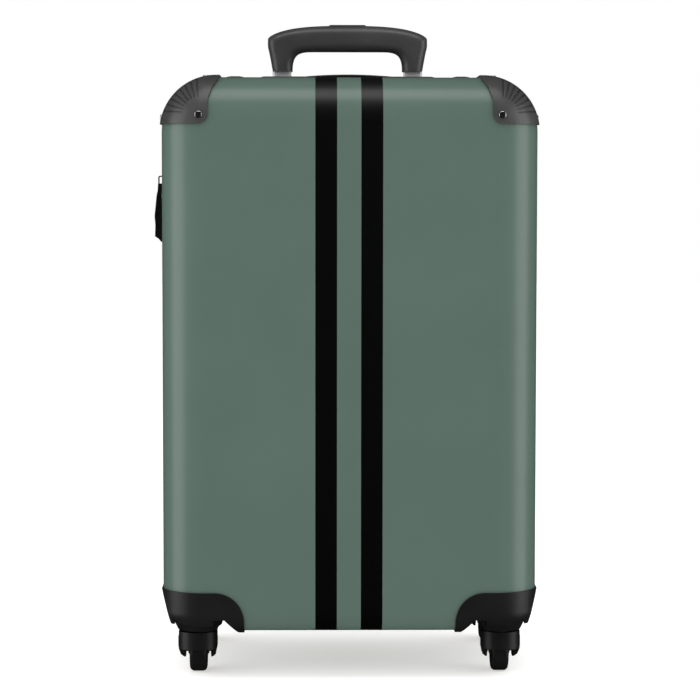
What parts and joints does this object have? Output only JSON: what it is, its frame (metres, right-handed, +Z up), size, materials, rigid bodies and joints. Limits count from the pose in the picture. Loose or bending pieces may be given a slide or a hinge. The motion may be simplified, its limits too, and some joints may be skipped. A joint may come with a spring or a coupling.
{
  "type": "hard shell suitcase on wheels",
  "caption": "Upright hard shell cabin suitcase with a telescopic pull handle, corner guards, swivel casters, a zip round the rim and two printed stripes.",
  "frame": {"origin": "on the floor under the middle of the case, on the seam plane between its two half shells", "axes": "+X to the right seen from the front, +Y from the front face to the back face, +Z up"},
  "size_m": [0.3576, 0.2356, 0.6077],
  "materials": {
    "shell_plastic": "sage green glossy thermoformed sheet with two printed black stripes down each face",
    "black_plastic": "black moulded plastic with a satin surface",
    "button_plastic": "black button, a little glossier than the grip",
    "screw_steel": "bright zinc-plated steel",
    "tyre_rubber": "solid black tyre",
    "hub_plastic": "black moulded wheel centre",
    "tube_aluminium": "satin anodised aluminium tube",
    "strap_rubber": "soft black grip strap with a gloss",
    "zip_tape_cloth": "black woven zip tape and hinge cloth",
    "zip_chain": "black coil teeth",
    "zip_metal": "gunmetal slider and puller",
    "lining_cloth": "dark woven polyester lining",
    "mesh_cloth": "black mesh",
    "webbing": "black woven strap"
  },
  "bodies": {
    "back_half": {"back_shell": "shell_plastic", "back_guard_left": "black_plastic", "back_guard_right": "black_plastic", "back_guard_screws": "screw_steel", "back_housing_left": "black_plastic", "back_housing_right": "black_plastic", "back_housing_screws": "screw_steel", "back_lining": "lining_cloth", "back_zip_chain": "zip_chain", "back_zip_tape": "zip_tape_cloth", "handle_bezel": "black_plastic", "hinge_cloth": "zip_tape_cloth", "outer_tubes": "tube_aluminium", "packing_straps": "webbing", "strap_buckle": "black_plastic", "strap_caps": "black_plastic", "tube_bracket": "black_plastic", "tube_cover": "lining_cloth"},
    "front_half": {"front_shell": "shell_plastic", "front_guard_left": "black_plastic", "front_guard_right": "black_plastic", "front_guard_screws": "screw_steel", "front_housing_left": "black_plastic", "front_housing_right": "black_plastic", "front_housing_screws": "screw_steel", "front_lining": "lining_cloth", "front_zip_chain": "zip_chain", "front_zip_tape": "zip_tape_cloth", "mesh_pocket": "mesh_cloth"},
    "handle_middle": {"middle_tubes": "tube_aluminium"},
    "handle_grip": {"inner_tubes": "tube_aluminium", "grip_body": "black_plastic", "grip_cover": "black_plastic"},
    "handle_button": {"release_button": "button_plastic", "release_rods": "screw_steel"},
    "carry_handle": {"carry_strap": "strap_rubber"},
    "zip_slider_upper": {"slider_upper": "zip_metal"},
    "zip_slider_lower": {"slider_lower": "zip_metal"},
    "zip_puller_upper": {"puller_upper": "zip_metal"},
    "zip_puller_lower": {"puller_lower": "zip_metal"},
    "front_left_caster": {"front_left_fork": "black_plastic", "front_left_pins": "screw_steel"},
    "front_left_wheel": {"front_left_tyre": "tyre_rubber", "front_left_hub": "hub_plastic"},
    "front_right_caster": {"front_right_fork": "black_plastic", "front_right_pins": "screw_steel"},
    "front_right_wheel": {"front_right_tyre": "tyre_rubber", "front_right_hub": "hub_plastic"},
    "back_left_caster": {"back_left_fork": "black_plastic", "back_left_pins": "screw_steel"},
    "back_left_wheel": {"back_left_tyre": "tyre_rubber", "back_left_hub": "hub_plastic"},
    "back_right_caster": {"back_right_fork": "black_plastic", "back_right_pins": "screw_steel"},
    "back_right_wheel": {"back_right_tyre": "tyre_rubber", "back_right_hub": "hub_plastic"}
  },
  "joints": [
    {"name": "lid_open", "type": "hinge", "parent": "back_half", "child": "front_half", "pos_m": [0.177, 0, 0.3], "axis": [0, 0, 1], "range_deg": [0, 180]},
    {"name": "handle_stage_lower", "type": "slide", "parent": "back_half", "child": "handle_middle", "axis": [0, 0, 1], "range_m": [0, 0.215]},
    {"name": "handle_stage_upper", "type": "slide", "parent": "handle_middle", "child": "handle_grip", "axis": [0, 0, 1], "range_m": [0, 0.215]},
    {"name": "button_press", "type": "slide", "parent": "handle_grip", "child": "handle_button", "axis": [0, 0, -1], "range_m": [0, 0.003], "stiffness_N_per_m": 1500, "springref_m": -0.002},
    {"name": "carry_lift", "type": "slide", "parent": "back_half", "child": "carry_handle", "axis": [0, 0, 1], "range_m": [0, 0.004], "stiffness_N_per_m": 1500, "springref_m": -0.001},
    {"name": "zip_upper_slide", "type": "slide", "parent": "back_half", "child": "zip_slider_upper", "axis": [0, 0, 1], "range_m": [0, 0.035]},
    {"name": "zip_lower_slide", "type": "slide", "parent": "back_half", "child": "zip_slider_lower", "axis": [0, 0, -1], "range_m": [0, 0.3]},
    {"name": "zip_upper_puller", "type": "hinge", "parent": "zip_slider_upper", "child": "zip_puller_upper", "pos_m": [-0.17785, 0, 0.45115], "axis": [0, 1, 0], "range_deg": [0, 85]},
    {"name": "zip_lower_puller", "type": "hinge", "parent": "zip_slider_lower", "child": "zip_puller_lower", "pos_m": [-0.17525, 0, 0.43215], "axis": [0, 1, 0], "range_deg": [0, 60]},
    {"name": "front_left_swivel", "type": "hinge", "parent": "front_half", "child": "front_left_caster", "pos_m": [-0.14, -0.079, 0.04], "axis": [0, 0, 1], "continuous": true},
    {"name": "front_left_spin", "type": "hinge", "parent": "front_left_caster", "child": "front_left_wheel", "pos_m": [-0.14, -0.063, 0.02], "axis": [1, 0, 0], "continuous": true},
    {"name": "front_right_swivel", "type": "hinge", "parent": "front_half", "child": "front_right_caster", "pos_m": [0.14, -0.079, 0.04], "axis": [0, 0, 1], "continuous": true},
    {"name": "front_right_spin", "type": "hinge", "parent": "front_right_caster", "child": "front_right_wheel", "pos_m": [0.14, -0.063, 0.02], "axis": [1, 0, 0], "continuous": true},
    {"name": "back_left_swivel", "type": "hinge", "parent": "back_half", "child": "back_left_caster", "pos_m": [-0.14, 0.079, 0.04], "axis": [0, 0, 1], "continuous": true},
    {"name": "back_left_spin", "type": "hinge", "parent": "back_left_caster", "child": "back_left_wheel", "pos_m": [-0.14, 0.095, 0.02], "axis": [1, 0, 0], "continuous": true},
    {"name": "back_right_swivel", "type": "hinge", "parent": "back_half", "child": "back_right_caster", "pos_m": [0.14, 0.079, 0.04], "axis": [0, 0, 1], "continuous": true},
    {"name": "back_right_spin", "type": "hinge", "parent": "back_right_caster", "child": "back_right_wheel", "pos_m": [0.14, 0.095, 0.02], "axis": [1, 0, 0], "continuous": true}
  ]
}
